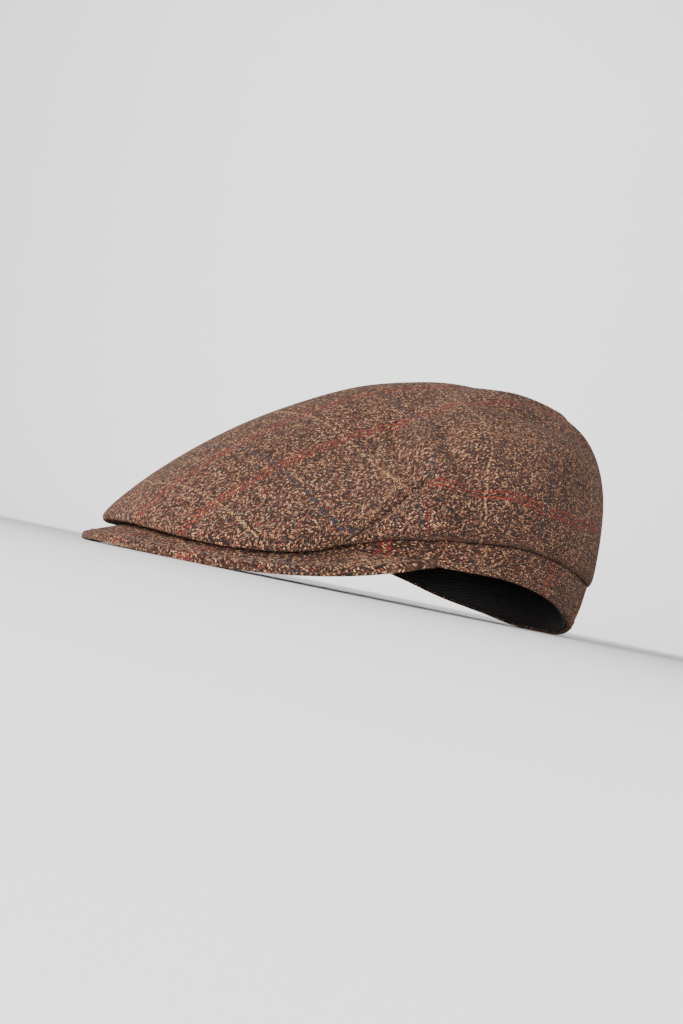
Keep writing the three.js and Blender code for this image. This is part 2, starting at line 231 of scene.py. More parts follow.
# Wool tweed, woven in a herringbone of flecked yarns: dark brown, with tan, cream, rust and grey
# flecks. Double red, single cream and zigzag navy lines cross it in a windowpane check. The yarn
# is hairy, so the eye sees a matt surface with a soft bloom at its edges and no highlight.
# Lengths are in millimetres. A fleck is a share of all yarns from one number to the next.
TWEED_GROUND = "#1c110e"
TWEED_FLECKS = [
    (0.0, "#241713"),
    (0.14, "#40281f"),
    (0.34, "#664237"),
    (0.56, "#8a5d49"),
    (0.74, "#b68460"),
    (0.88, "#dcaa7c"),
    (0.925, "#8e4036"),
    (0.96, "#69665f"),
]
TWEED_RED, RED_COVER = "#a3302b", 0.87
TWEED_CREAM, CREAM_COVER = "#cf9d6c", 0.8
TWEED_NAVY, NAVY_COVER = "#2c3947", 0.85
HERRINGBONE_WIDTH = 4.6
# The real yarns lie about 0.5 mm apart. They are drawn a little coarser, to show in the render.
FLECK_ACROSS = 0.66
FLECK_LENGTH = 1.2
CHECK_ACROSS = 29.0
CHECK_ALONG = 35.0
RED_PAIR_SPREAD = 1.25
CHECK_YARN = 0.62
ROW_DASH, ROW_DASH_SHOWN = 3.4, 2.108
CROSS_DASH, CROSS_DASH_SHOWN = 2.72, 1.7
CREAM_ROW_COVER = 0.45
NAVY_SWING = 0.8
NAVY_PERIOD = 4.2
NAVY_YARN = 0.93


def tweed_material(name):
    m = new_material(name)
    # "cloth" is a place on the cloth in millimetres. "check" counts the lines of the check: rows
    # outward from the middle, and cross lines from the front to the back.
    cloth = node(m, "ShaderNodeUVMap", uv_map="cloth")
    cloth_place = node(m, "ShaderNodeSeparateXYZ", [(0, cloth.outputs[0])])
    check = node(m, "ShaderNodeUVMap", uv_map="check")
    check_place = node(m, "ShaderNodeSeparateXYZ", [(0, check.outputs[0])])
    value = {
        "u": cloth_place.outputs[0],
        "v": cloth_place.outputs[1],
        "row": check_place.outputs[0],
        "cross": check_place.outputs[1],
    }
    # Each step is a name, a sum, and the numbers or earlier names that the sum takes.
    steps = [
        # The herringbone: the yarns lean one way, and then the other way, across each stripe.
        ("stripe", "DIVIDE", "u", HERRINGBONE_WIDTH),
        ("lean", "PINGPONG", "stripe", 1.0),
        ("slant", "MULTIPLY_ADD", "lean", HERRINGBONE_WIDTH, "v"),
        ("yarn_across", "DIVIDE", "u", FLECK_ACROSS),
        ("yarn_along", "DIVIDE", "slant", FLECK_LENGTH),
        # The nearest row and cross line, and how far off each is.
        ("row_line", "ROUND", "row"),
        ("row_part", "SUBTRACT", "row", "row_line"),
        ("row_gap", "MULTIPLY", "row_part", CHECK_ACROSS),
        ("row_away", "ABSOLUTE", "row_gap"),
        ("cross_line", "ROUND", "cross"),
        ("cross_part", "SUBTRACT", "cross", "cross_line"),
        ("cross_gap", "MULTIPLY", "cross_part", CHECK_ALONG),
        ("cross_away", "ABSOLUTE", "cross_gap"),
        # Dashes, where a coloured yarn comes to the face. The two yarns of a red row take turns.
        ("along", "MULTIPLY", "cross", CHECK_ALONG),
        ("outward", "MULTIPLY", "row", CHECK_ACROSS),
        ("far_yarn", "GREATER_THAN", "row_gap", 0.0),
        ("taking_turns", "MULTIPLY_ADD", "far_yarn", ROW_DASH / 2, "along"),
        ("row_beat", "FLOORED_MODULO", "taking_turns", ROW_DASH),
        ("row_shown", "LESS_THAN", "row_beat", ROW_DASH_SHOWN),
        ("cross_beat", "FLOORED_MODULO", "outward", CROSS_DASH),
        ("cross_shown", "LESS_THAN", "cross_beat", CROSS_DASH_SHOWN),
        # Every third row is a single cream one. The others are double red ones.
        ("row_kind", "FLOORED_MODULO", "row_line", 3.0),
        ("cream_kind", "LESS_THAN", "row_kind", 0.5),
        ("red_kind", "SUBTRACT", 1.0, "cream_kind"),
        ("pair_gap", "SUBTRACT", "row_away", RED_PAIR_SPREAD),
        ("pair_away", "ABSOLUTE", "pair_gap"),
        ("on_pair", "LESS_THAN", "pair_away", CHECK_YARN),
        ("pair_shown", "MULTIPLY", "on_pair", "row_shown"),
        ("red", "MULTIPLY", "pair_shown", "red_kind"),
        ("on_row", "LESS_THAN", "row_away", CHECK_YARN),
        ("single_shown", "MULTIPLY", "on_row", "row_shown"),
        ("cream_row", "MULTIPLY", "single_shown", "cream_kind"),
        ("cream_row_cover", "MULTIPLY", "cream_row", CREAM_ROW_COVER),
        # Cross lines are cream and zigzag navy by turns.
        ("cross_kind", "FLOORED_MODULO", "cross_line", 2.0),
        ("navy_kind", "GREATER_THAN", "cross_kind", 0.5),
        ("pale_kind", "SUBTRACT", 1.0, "navy_kind"),
        ("on_cross", "LESS_THAN", "cross_away", CHECK_YARN),
        ("pale_shown", "MULTIPLY", "on_cross", "cross_shown"),
        ("cream_cross", "MULTIPLY", "pale_shown", "pale_kind"),
        ("cream", "MAXIMUM", "cream_row_cover", "cream_cross"),
        ("swing", "PINGPONG", "outward", NAVY_PERIOD / 2),
        ("zigzag", "MULTIPLY_ADD", "swing", 4 * NAVY_SWING / NAVY_PERIOD, -NAVY_SWING),
        ("zigzag_gap", "ADD", "cross_gap", "zigzag"),
        ("zigzag_away", "ABSOLUTE", "zigzag_gap"),
        ("on_zigzag", "LESS_THAN", "zigzag_away", NAVY_YARN),
        ("zigzag_shown", "MULTIPLY", "on_zigzag", "cross_shown"),
        ("navy", "MULTIPLY", "zigzag_shown", "navy_kind"),
        ("red_cover", "MULTIPLY", "red", RED_COVER),
        ("cream_cover", "MULTIPLY", "cream", CREAM_COVER),
        ("navy_cover", "MULTIPLY", "navy", NAVY_COVER),
    ]
    for step, operation, *taken in steps:
        inputs = [(k, value.get(entry, entry)) for k, entry in enumerate(taken)]
        value[step] = node(m, "ShaderNodeMath", inputs, operation=operation).outputs[0]

    # Each cell is one float of yarn on the face, and picks its fleck's colour by chance.
    yarn = node(m, "ShaderNodeCombineXYZ", [(0, value["yarn_across"]), (1, value["yarn_along"])])
    cells = node(m, "ShaderNodeTexVoronoi", [
        ("Vector", yarn.outputs[0]), ("Scale", 1.0), ("Randomness", 0.5)],
        voronoi_dimensions="2D")
    pick = node(m, "ShaderNodeSeparateColor", [(0, cells.outputs["Color"])])
    flecks = node(m, "ShaderNodeValToRGB", [(0, pick.outputs[0])])
    flecks.color_ramp.interpolation = "CONSTANT"
    stops = flecks.color_ramp.elements
    while len(stops) < len(TWEED_FLECKS):
        stops.new(1.0)
    for stop, (position, colour) in zip(stops, TWEED_FLECKS):
        stop.position = position
        stop.color = linear(colour)

    # Yarns stand proud of the gaps between them, and the gaps are dark.
    proud = node(m, "ShaderNodeMapRange", [
        (0, cells.outputs["Distance"]), (1, 0.54), (2, 0.22), (3, 0.0), (4, 1.0)])
    colour = flecks.outputs[0]
    dyes = {"red_cover": TWEED_RED, "cream_cover": TWEED_CREAM, "navy_cover": TWEED_NAVY}
    for cover, dye in dyes.items():
        mixed = node(m, "ShaderNodeMix", [
            (0, value[cover]), (6, colour), (7, linear(dye))], data_type="RGBA")
        colour = mixed.outputs[2]
    gap = node(m, "ShaderNodeMix", [
        (0, proud.outputs[0]), (6, linear(TWEED_GROUND)), (7, colour)], data_type="RGBA")
    space = node(m, "ShaderNodeTexCoord")
    patches = node(m, "ShaderNodeTexNoise", [
        ("Vector", space.outputs["Object"]), ("Scale", 28.0), ("Detail", 2.0)])
    worn = node(m, "ShaderNodeMapRange", [
        (0, patches.outputs[0]), (1, 0.3), (2, 0.7), (3, 0.82), (4, 1.15)])
    shaded = node(m, "ShaderNodeMix", [
        (0, 1.0), (6, gap.outputs[2]), (7, worn.outputs[0])], data_type="RGBA", blend_type="MULTIPLY")
    hairs = node(m, "ShaderNodeTexNoise", [
        ("Vector", space.outputs["Object"]), ("Scale", 1500.0), ("Detail", 3.0), ("Roughness", 0.7)])
    height = node(m, "ShaderNodeMath", [
        (0, hairs.outputs[0]), (1, 0.5), (2, proud.outputs[0])], operation="MULTIPLY_ADD")
    bump = node(m, "ShaderNodeBump", [
        ("Strength", 0.75), ("Distance", 0.0006), ("Height", height.outputs[0])])
    surface = node(m, "ShaderNodeBsdfPrincipled", [
        ("Base Color", shaded.outputs[2]), ("Roughness", 0.92), ("IOR", 1.5),
        ("Specular IOR Level", 0.25), ("Sheen Weight", 0.12), ("Sheen Roughness", 0.5),
        ("Sheen Tint", linear("#b09a86")), ("Normal", bump.outputs[0])])
    node(m, "ShaderNodeOutputMaterial", [(0, surface.outputs[0])])
    return m


tweed = tweed_material("wool_tweed")


BAND_STEPS = 480
BAND_FACE_ROWS = 12
BAND_BACK_ROWS = 8
BAND_FOLD_ARC = np.radians(np.linspace(0, 180, 13)[1:-1])
BULGE_FADE_FROM = 95
# The band's red lines run up and down, one at this place round from the nape, and further apart
# than the crown's. Its cross line lies this share of a check above the seam.
BAND_RED_AT = 62.0
BAND_RED_SPACING = 1.6 * CHECK_ACROSS
BAND_CROSS_SHARE = 0.3
band_turns = np.linspace(-180, 180, BAND_STEPS, endpoint=False)


def band_section(turns):
    """Down the outside from the crown's seam, round the fold and up the inside."""
    angle = np.abs(turns)
    bottom, top = band_bottom(angle), band_top(angle)
    radius = BAND_WALL / 2
    rows = []
    for share in np.linspace(1, 0, BAND_FACE_ROWS):
        z = bottom + radius + (top - bottom - radius) * share
        fade = 1 - smooth(angle, BULGE_FADE_FROM, PEAK_END_ANGLE)
        bulge = BAND_BULGE * np.sin(np.pi * share) ** 2 * fade
        x, y = beside_head(turns, band_lean(angle, z) + bulge)
        rows.append(np.stack([x, y, z], -1))
    for arc in BAND_FOLD_ARC:
        out = band_lean(angle, bottom + radius) - radius + radius * np.cos(arc)
        x, y = beside_head(turns, out)
        rows.append(np.stack([x, y, bottom + radius - radius * np.sin(arc)], -1))
    for share in np.linspace(0, 1, BAND_BACK_ROWS):
        z = bottom + radius + (top - bottom - radius) * share
        x, y = beside_head(turns, band_lean(angle, z) - BAND_WALL)
        rows.append(np.stack([x, y, z], -1))
    return np.stack(rows, 1)


def band_cloth(sections, turns):
    """The strip runs round the head with its check lines up and down."""
    steps_down = np.linalg.norm(np.diff(sections, axis=1), axis=-1)
    down = np.concatenate([np.zeros((len(sections), 1)), np.cumsum(steps_down, 1)], 1)
    degrees = np.linspace(0, 180, 181)
    x, y = beside_head(degrees, 0)
    round_head = np.concatenate([[0], np.cumsum(np.hypot(np.diff(x), np.diff(y)))])
    length = np.interp(np.abs(turns), degrees, round_head)
    along = np.repeat(length[:, None], sections.shape[1], 1)
    check_row = (along - BAND_RED_AT) / BAND_RED_SPACING + 1
    check_cross = down / CHECK_ALONG + BAND_CROSS_SHARE
    return np.stack([down, along], -1), np.stack([check_row, check_cross], -1)


sections = band_section(band_turns)
cloth, check = band_cloth(sections, band_turns)
band = loops_to_piece("band_cloth", sections, tweed, True, cloth, check)
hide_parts("band")

# The peak: a stiff board covered with the tweed above and below, seamed along its outer edge.
# Its root is sewn in below the crown, and it slopes down to the table in front.
PEAK_STEPS = 180
PEAK_ROWS = 36
EDGE_SEAM_DEPTH = 0.35
EDGE_SEAM_SPREAD = 7
PEAK_EDGE_ARC = [60, 40, 20, 8, 0, -8, -20, -40, -60]
# The cover below is cut from another place on the cloth.
PEAK_ROW_SHARE = 0.38
PEAK_CROSS_AT = 137
UNDER_COVER_SHIFT = 23.0
across = np.linspace(-1, 1, PEAK_STEPS + 1)[1:-1]
slice_angle = 180 - np.abs(across) * (180 - PEAK_END_ANGLE)
slice_turn = np.where(across < 0, -slice_angle, slice_angle)
edge_x, edge_y = peak_edge(across)
root_x, root_y = beside_head(slice_turn, 0)
slice_length = np.hypot(root_x - edge_x, root_y - edge_y)
shoulder_x = edge_x + (root_x - edge_x) / slice_length * PEAK_EDGE_ROUND
shoulder_y = edge_y + (root_y - edge_y) / slice_length * PEAK_EDGE_ROUND


def peak_face(side):
    """The face above or below the board, for a side of 1 or -1, from the root to the edge."""
    height = peak_height(root_x, root_y) + side * half_peak(root_x)
    start_x, start_y = beside_head(slice_turn, band_lean(slice_angle, height) + 2 * CLEARANCE)
    share = np.linspace(0, 1, PEAK_ROWS)[None]
    x = start_x[:, None] * (1 - share) + shoulder_x[:, None] * share
    y = start_y[:, None] * (1 - share) + shoulder_y[:, None] * share
    return np.stack([x, y, peak_height(x, y) + side * half_peak(x)], -1)


def peak_rim():
    """The rounded outer edge, pulled in along its middle where its two covers are seamed."""
    rows = []
    for degrees in PEAK_EDGE_ARC:
        arc = np.radians(degrees)
        seam = EDGE_SEAM_DEPTH * np.exp(-(degrees / EDGE_SEAM_SPREAD) ** 2)
        out = np.cos(arc) - seam / PEAK_EDGE_ROUND
        x = shoulder_x + (edge_x - shoulder_x) * out
        y = shoulder_y + (edge_y - shoulder_y) * out
        rows.append(np.stack([x, y, peak_height(x, y) + np.sin(arc) * half_peak(x)], -1))
    return np.stack(rows, 1)


sections = np.concatenate([peak_face(1), peak_rim(), peak_face(-1)[:, ::-1]], 1)
reach = np.linalg.norm(np.diff(sections, axis=1), axis=-1)
reach = np.concatenate([np.zeros((len(sections), 1)), np.cumsum(reach, 1)], 1)
reach = np.minimum(reach, reach[:, -1:] - reach)
flat_x = root_x[:, None] + ((edge_x - root_x) / slice_length)[:, None] * reach
flat_y = root_y[:, None] + ((edge_y - root_y) / slice_length)[:, None] * reach
below = np.arange(sections.shape[1]) > sections.shape[1] // 2
cloth = np.stack([flat_x + UNDER_COVER_SHIFT * below, flat_y], -1)
check_row = np.abs(flat_x) / CHECK_ACROSS + PEAK_ROW_SHARE
check = np.stack([check_row, (flat_y + PEAK_CROSS_AT) / CHECK_ALONG], -1)
peak = loops_to_piece("peak_cloth", sections, tweed, False, cloth, check)
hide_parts("peak")

# The crown: one large piece of the tweed, drawn forward over the peak, with a dart sewn into each
# side and a seam up the back. It is soft, so it stands by its lining and falls into slack folds.
CROWN_WALL = 1.8
CROWN_HEIGHT = 113.5
CROWN_TOP_SETBACK = 36.0
CROWN_OVERHANG = 50.0
CROWN_LIP = 12.0
CROWN_TUCK = 9.0
CROWN_HIP = 0.6
CROWN_UNDER = 0.25
# The crown is sewn to the band from the nape to past the side. Near the peak's ends its edge
# moves out to clear them, and then it moves on to the peak's face.
AWAY_FROM_ANGLE = 108
ON_PEAK_FROM_ANGLE = 120
ON_PEAK_TO_ANGLE = 142
# For each direction: how far out and how high the widest line is, how far the side runs up and
# how far the top runs level, as shares of the sizes above.
CROWN_TABLE = {
    "angle": [0, 30, 60, 90, 115, 135, 150, 165, 180],
    "out": [0.11, 0.12, 0.18, 0.23, 0.22, 0.24, 0.6, 0.91, 1.0],
    "lip": [1.0, 1.0, 1.0, 1.0, 0.9, 0.7, 0.55, 0.5, 0.5],
    "rise": [0.78, 0.78, 0.62, 0.46, 0.32, 0.18, 0.07, 0.05, 0.05],
    "flat": [0.7, 0.7, 0.65, 0.6, 0.57, 0.56, 0.57, 0.58, 0.58],
}


def crown_shape(turn, down):
    """The crown before it is creased. down is 0 at the top, 1 at the widest line, 2 at the seam."""
    turn, down = np.broadcast_arrays(np.array(turn, float), np.array(down, float))
    angle = np.abs(turn)
    out = CROWN_OVERHANG * column(CROWN_TABLE, "out", angle)
    lip = CROWN_LIP * column(CROWN_TABLE, "lip", angle)
    away = 2 * CLEARANCE * smooth(angle, AWAY_FROM_ANGLE, ON_PEAK_FROM_ANGLE)
    on_peak = smooth(angle, ON_PEAK_FROM_ANGLE, ON_PEAK_TO_ANGLE)
    hem = band_top(angle) + CLEARANCE

    def over_peak(x, y):
        return peak_height(x, y) + half_peak(x) + CLEARANCE

    seam_x, seam_y = beside_head(turn, band_lean(angle, band_top(angle)) + away)
    tuck_x, tuck_y = beside_head(turn, np.maximum(out - CROWN_TUCK, 2 * CROWN_WALL))
    seam = np.stack([
        seam_x + (tuck_x - seam_x) * on_peak,
        seam_y + (tuck_y - seam_y) * on_peak,
        hem + (over_peak(tuck_x, tuck_y) - hem) * on_peak], -1)
    x, y = beside_head(turn, out)
    widest = np.stack([x, y, hem + (over_peak(x, y) - hem) * on_peak + lip], -1)
    top = np.broadcast_to([0, CROWN_TOP_SETBACK, CROWN_HEIGHT], widest.shape)
    flat = top + (widest - top) * column(CROWN_TABLE, "flat", angle)[..., None]
    flat[..., 2] = CROWN_HEIGHT
    shoulder = widest.copy()
    shoulder[..., 2] += column(CROWN_TABLE, "rise", angle) * (CROWN_HEIGHT - widest[..., 2])
    hip = widest.copy()
    hip[..., 2] -= CROWN_HIP * lip
    under = widest + (seam - widest) * CROWN_UNDER
    under[..., 2] = seam[..., 2]

    def bezier(a, b, c, d, t):
        return a * (1 - t) ** 3 + 3 * b * (1 - t) ** 2 * t + 3 * c * (1 - t) * t * t + d * t**3

    dome = bezier(top, flat, shoulder, widest, np.clip(down, 0, 1)[..., None])
    lower = bezier(widest, hip, under, seam, np.clip(down - 1, 0, 1)[..., None])
    return np.where((down > 1)[..., None], lower, dome)


# The dart is sewn from the crown's front edge up to a point over the side of the peak.
# Each place is how far down the crown it is, and the angle from the nape.
DART_TABLE = {
    "down": [0.78, 0.81, 0.87, 0.92, 0.98, 1.15, 1.54],
    "angle": [120, 122, 124, 127, 130, 132, 135],
}
DART_COLUMN = 128.0
DART_REACH = 22.0
DART_LEAN_FROM = 0.35


def place_columns(turn, down):
    """Columns near the dart lean to run along it, so that its seam is an edge of the mesh."""
    angle = np.abs(turn)
    lean = np.interp(down, DART_TABLE["down"], DART_TABLE["angle"]) - DART_COLUMN
    near = 1 - smooth(np.abs(angle - DART_COLUMN), 0, DART_REACH)
    return np.sign(turn) * (angle + lean * near * smooth(down, DART_LEAN_FROM, DART_TABLE["down"][0]))


# Folds, from one place to another as (angle, down), with their width and depth in millimetres.
# A depth under zero is a ridge.
FOLD_TABLE = [
    {"from": (136, 1.3), "to": (120, 0.78), "wide": 5.0, "deep": 1.8},
    {"from": (143, 0.42), "to": (118, 0.85), "wide": 2.8, "deep": 4.3},
    {"from": (134, 0.44), "to": (114, 0.8), "wide": 4.6, "deep": -3.0},
    {"from": (121, 0.52), "to": (104, 0.92), "wide": 3.6, "deep": 3.7},
    {"from": (112, 0.48), "to": (97, 0.88), "wide": 6.0, "deep": -2.2},
    {"from": (120, 0.3), "to": (62, 0.5), "wide": 8.0, "deep": 2.8},
    {"from": (108, 0.2), "to": (40, 0.34), "wide": 5.5, "deep": -2.0},
    {"from": (40, 0.36), "to": (60, 0.62), "wide": 5.0, "deep": 2.2},
    {"from": (44, 0.6), "to": (40, 1.0), "wide": 8.5, "deep": 1.7},
    {"from": (70, 0.75), "to": (62, 1.05), "wide": 9.0, "deep": 0.8},
    {"from": (26, 0.7), "to": (22, 1.1), "wide": 8.0, "deep": 0.8},
    {"from": (0, 0.35), "to": (0, 1.1), "wide": 5.0, "deep": 1.0},
    {"from": (158, 0.5), "to": (150, 0.72), "wide": 9.0, "deep": 0.7},
    {"from": (168, 0.3), "to": (176, 0.62), "wide": 12.0, "deep": 0.6},
]
FOLD_END = 0.15
FOLD_FADE_FROM = 1.2
# The slack of soft cloth: low waves a few centimetres across.
SLACK_DEPTH = 0.28
SLACK_X, SLACK_Y, SLACK_CROSS_Y, SLACK_CROSS_Z = 9.5, 17, 12, 15
# The cloth is drawn in along a seam. The seam up the back starts behind the top, and is flatter.
SEAM_GROOVE = 1.6
SEAM_GROOVE_WIDTH = 0.8
SEAM_FADE_FROM = 1.6
BACK_SEAM = {"from": (0, 0.04), "to": (0, 2.0), "share": 0.5, "starts_by": 0.2, "fade": (1, 1.5)}


def near_line(points, start, end, bits=8):
    """How far each point is from a line drawn on the crown from one (angle, down) to another, the
    same on each side, and where along the line, from 0 to 1, it is nearest."""
    share = np.linspace(0, 1, bits + 1)
    line = crown_shape(start[0] + (end[0] - start[0]) * share, start[1] + (end[1] - start[1]) * share)
    mirrored = points.copy()
    mirrored[..., 0] = np.abs(mirrored[..., 0])
    best, along = np.full(points.shape[:-1], np.inf), np.zeros(points.shape[:-1])
    for k, (a, b) in enumerate(zip(line[:-1], line[1:])):
        t = np.clip(((mirrored - a) @ (b - a)) / ((b - a) @ (b - a)), 0, 1)
        away = np.linalg.norm(mirrored - a - t[..., None] * (b - a), axis=-1)
        along = np.where(away < best, (k + t) / bits, along)
        best = np.minimum(best, away)
    return best, along


# Columns stand closer beside the back seam and the darts, where the cloth is drawn in.
BACK_SEAM_COLUMNS = [0.15, 0.35, 0.6]
DART_COLUMNS = np.array([0.2, 0.4, 0.7, 1.5])
DOME_ROWS = 100
LIP_ROWS = 26
INSIDE_EVERY = 6
NEAR_TURN, NEAR_DOWN = 0.4, 0.01
half = np.unique(np.concatenate([
    np.arange(0, 181, 1.0), BACK_SEAM_COLUMNS, DART_COLUMN - DART_COLUMNS, DART_COLUMN + DART_COLUMNS]))
crown_turns = np.concatenate([-half[1:-1][::-1], half])
dome_downs, lip_downs = np.linspace(0, 1, DOME_ROWS + 1)[1:], 1 + np.linspace(0, 1, LIP_ROWS + 1)[1:]
crown_downs = np.concatenate([dome_downs, lip_downs])
turn_grid = place_columns(crown_turns[:, None], crown_downs[None])
down_grid = np.broadcast_to(crown_downs[None], turn_grid.shape)
shape = crown_shape(turn_grid, down_grid)
round_way = crown_shape(turn_grid + NEAR_TURN, down_grid) - crown_shape(turn_grid - NEAR_TURN, down_grid)
lower, upper = np.minimum(down_grid + NEAR_DOWN, 2), down_grid - NEAR_DOWN
out_way = np.cross(round_way, crown_shape(turn_grid, lower) - crown_shape(turn_grid, upper))
out_way /= np.linalg.norm(out_way, axis=-1, keepdims=True)

depth = np.zeros(turn_grid.shape)
for fold in FOLD_TABLE:
    gap, along = near_line(shape, fold["from"], fold["to"])
    taper = np.sin(np.pi * (FOLD_END + (1 - 2 * FOLD_END) * along))
    depth += fold["deep"] * taper * np.exp(-((gap / fold["wide"]) ** 2))
slack = np.sin(shape[..., 0] / SLACK_X + shape[..., 1] / SLACK_Y)
slack *= np.sin(shape[..., 1] / SLACK_CROSS_Y - shape[..., 2] / SLACK_CROSS_Z)
depth += SLACK_DEPTH * slack
groove = np.zeros(turn_grid.shape)
dart = list(zip(DART_TABLE["angle"], DART_TABLE["down"]))
for start, end in zip(dart[:-1], dart[1:]):
    gap, along = near_line(shape, start, end, 3)
    groove = np.maximum(groove, np.exp(-((gap / SEAM_GROOVE_WIDTH) ** 2)))
gap, along = near_line(shape, BACK_SEAM["from"], BACK_SEAM["to"], 30)
drawn_in = smooth(along, 0, BACK_SEAM["starts_by"]) * (1 - smooth(down_grid, *BACK_SEAM["fade"]))
drawn_in *= BACK_SEAM["share"] * np.exp(-((gap / SEAM_GROOVE_WIDTH) ** 2))
groove = np.maximum(groove, drawn_in)
depth *= 1 - smooth(down_grid, FOLD_FADE_FROM, 2)
depth += SEAM_GROOVE * groove * (1 - smooth(down_grid, SEAM_FADE_FROM, 2))
outside = shape - out_way * depth[..., None]
inside_rows = np.flatnonzero(np.arange(len(crown_downs)) % INSIDE_EVERY == INSIDE_EVERY - 1)
inside = (outside - out_way * CROWN_WALL)[:, inside_rows][:, ::-1]

# Where each point lies on the cloth, unrolled from the top of the crown.
peak_of_crown = np.broadcast_to([0, CROWN_TOP_SETBACK, CROWN_HEIGHT], (len(crown_turns), 1, 3))
steps_down = np.linalg.norm(np.diff(np.concatenate([peak_of_crown, shape], 1), axis=1), axis=-1)
length = np.cumsum(steps_down, 1)
rim = crown_shape(turn_grid, np.ones(turn_grid.shape))
way = np.arctan2(rim[..., 0], rim[..., 1] - CROWN_TOP_SETBACK)
cloth_u, cloth_v = length * np.sin(way), length * np.cos(way)
# Where the rows of the check lie, outward from the middle. From SPREAD_FROM on they are spread or
# drawn in more and more, and from SPREAD_BY on by the whole factor at each place along the cap.
ROWS_OUT = [-8.0, 18, 47, 78, 110, 142, 174]
SPREAD_FROM, SPREAD_BY = 47, 100
ROW_SPREAD = {
    "place": [-215, -140, -112, -104, -75, -34, 0, 49, 120],
    "factor": [1.25, 1.25, 1.15, 0.86, 1.0, 1.08, 1.05, 0.88, 0.85],
}
# Where the cross lines lie from the front to the back: on the middle, beside it, further out and
# low on the side. Behind the dart they don't meet those before it, because it takes cloth away.
CROSS_OUT = [0, 75.0, 100.0, 130.0]
CROSS_BEFORE = [
    [-197, -165, -126, -80, -45, -12, 22, 56, 90, 124],
    [-181, -148, -112, -76, -55, -17, 20, 56, 90, 124],
    [-205, -142, -109, -76, -45, -17, 20, 56, 90, 124],
    [-205, -142, -109, -76, -45, -17, 20, 56, 90, 124],
]
CROSS_BEHIND = [
    [-197, -165, -126, -80, -45, -12, 22, 56, 90, 124],
    [-181, -148, -112, -76, -55, -17, 20, 56, 90, 124],
    [-176, -158, -134, -109, -68, -26, 18, 56, 90, 124],
    [-190, -170, -148, -124, -80, -40, 12, 54, 90, 124],
]


def cross_count(u, v, lines):
    """How many cross lines lie before a place on the cloth."""
    counts = np.stack([
        np.interp(v, row, np.arange(len(row))) + (v - np.clip(v, row[0], row[-1])) / CHECK_ALONG
        for row in lines])
    at = np.interp(np.abs(u), CROSS_OUT, np.arange(len(CROSS_OUT)))
    inner = np.minimum(at.astype(int), len(CROSS_OUT) - 2)
    share = at - inner
    inner_count = np.take_along_axis(counts, inner[None], 0)[0]
    outer_count = np.take_along_axis(counts, inner[None] + 1, 0)[0]
    return inner_count * (1 - share) + outer_count * share


def with_inside(values):
    """Values for the outside rows, with those of the inside rows taken from the same places."""
    return np.concatenate([values, values[:, inside_rows][:, ::-1]], 1)


def dome_faces(columns, rows):
    """A closed shell of two domes. Its first two points are the outer top and the inner top, and
    each column of points then runs down the outside and up the inside."""
    def corner(i, j):
        return 2 + (i % columns) * rows + j

    faces = []
    for i in range(columns):
        faces.append([0, corner(i, 0), corner(i + 1, 0)])
        for j in range(rows - 1):
            faces.append([corner(i, j), corner(i, j + 1), corner(i + 1, j + 1), corner(i + 1, j)])
        faces.append([1, corner(i + 1, rows - 1), corner(i, rows - 1)])
    return faces


def at_corners(values, top, face):
    """The values at a face's corners, with one value for the tops of the shell."""
    rows = values.shape[1]
    return [values[(k - 2) // rows, (k - 2) % rows] if k > 1 else top for k in face]


factor = np.interp(cloth_v, ROW_SPREAD["place"], ROW_SPREAD["factor"])
spread = 1 + (factor - 1) * smooth(np.abs(cloth_u), SPREAD_FROM, SPREAD_BY)
row_count = with_inside(np.interp(np.abs(cloth_u) / spread, ROWS_OUT, np.arange(len(ROWS_OUT))))
check_before = np.stack([row_count, with_inside(cross_count(cloth_u, cloth_v, CROSS_BEFORE))], -1)
check_behind = np.stack([row_count, with_inside(cross_count(cloth_u, cloth_v, CROSS_BEHIND))], -1)
cloth_grid = np.stack([with_inside(cloth_u), with_inside(cloth_v)], -1)
columns, rows = cloth_grid.shape[:2]
points = np.concatenate([
    [[0, CROWN_TOP_SETBACK, CROWN_HEIGHT], [0, CROWN_TOP_SETBACK, CROWN_HEIGHT - CROWN_WALL]],
    np.concatenate([outside, inside], 1).reshape(-1, 3)])
faces, cloth, check = dome_faces(columns, rows), [], []
for k, face in enumerate(faces):
    i = k // (rows + 1)
    behind_dart = abs(crown_turns[i] + crown_turns[(i + 1) % columns]) / 2 < DART_COLUMN
    check_grid = check_behind if behind_dart and i + 1 < columns else check_before
    cloth += at_corners(cloth_grid, (0, 0), face)
    check += at_corners(check_grid, check_grid[i, 0], face)
crown = make_piece("crown_cloth", points, faces, tweed, cloth, check)
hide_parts("crown")

# The sweatband: black ribbed ribbon that stands inside the band, against the head. It starts just
# over the band's folded edge, and its own bottom edge is a little rounded.
SWEATBAND_HEIGHT = 25.0
SWEATBAND_LIFT = 1.6
SWEATBAND_WALL = 1.0
SWEATBAND_ROWS = 9
SWEATBAND_EDGE = 0.012
RIB_SPACING = 1.1
# At a scale of 1, a wave texture repeats about this many times in one unit of length.
WAVES_PER_UNIT = 3.18


